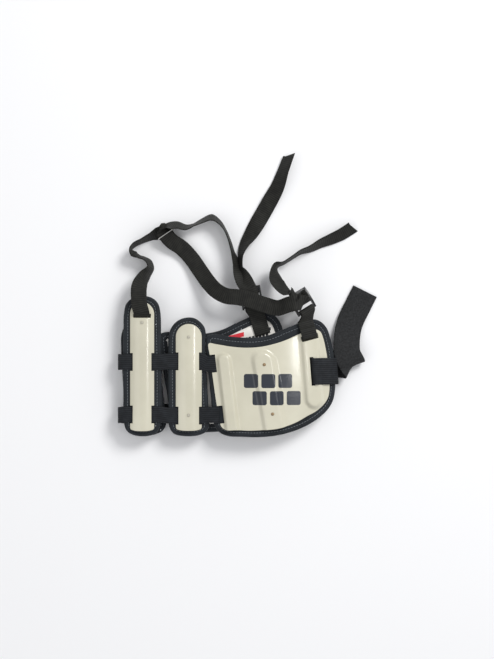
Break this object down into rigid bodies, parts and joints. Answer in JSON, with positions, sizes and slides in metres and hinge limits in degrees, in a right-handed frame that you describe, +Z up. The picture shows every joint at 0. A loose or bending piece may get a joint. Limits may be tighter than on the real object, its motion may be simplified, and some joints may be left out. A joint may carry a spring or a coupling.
{
  "type": "rib protector",
  "caption": "Folded torso guard: foam pads with moulded ribbed shells threaded on elastic bands, with a closing strap and a webbing shoulder harness.",
  "frame": {"origin": "on the surface it lies on, under the middle of its bounding box", "axes": "+Z up, out of the upper half's shells; +Y to the wearer's head; +X from the back panel to the closing strap"},
  "size_m": [0.4184, 0.4496, 0.065],
  "materials": {
    "padding": "dark knitted cover over foam with a bound edge",
    "shell": "glossy moulded cream-white plastic",
    "rivet": "small domed dull rivet heads",
    "lining": "smooth white knit printed with plain bars",
    "elastic": "ribbed black elastic",
    "fastener_strap": "black hook-and-loop strap",
    "webbing": "cross-ribbed black webbing",
    "buckle": "glossy black moulded plastic",
    "ring": "bright bent wire"
  },
  "bodies": {
    "root": {"back_pad": "padding", "back_rivet_1": "rivet", "back_shell": "shell", "back_strap": "webbing", "closure_band": "elastic", "closure_strap": "fastener_strap", "left_buckle": "buckle", "left_front_lining": "lining", "left_front_pad": "padding", "left_front_rivet_1": "rivet", "left_front_rivet_2": "rivet", "left_front_shell": "shell", "left_side_pad": "padding", "left_side_rivet_1": "rivet", "left_side_rivet_2": "rivet", "left_side_shell": "shell", "left_tab": "webbing", "lower_band": "elastic", "right_buckle": "buckle", "right_front_lining": "lining", "right_front_pad": "padding", "right_front_rivet_1": "rivet", "right_front_rivet_2": "rivet", "right_front_shell": "shell", "right_side_pad": "padding", "right_side_rivet_1": "rivet", "right_side_rivet_2": "rivet", "right_side_shell": "shell", "right_tab": "webbing", "shoulder_strap": "webbing", "strap_ring": "ring", "upper_band": "elastic"}
  },
  "joints": []
}
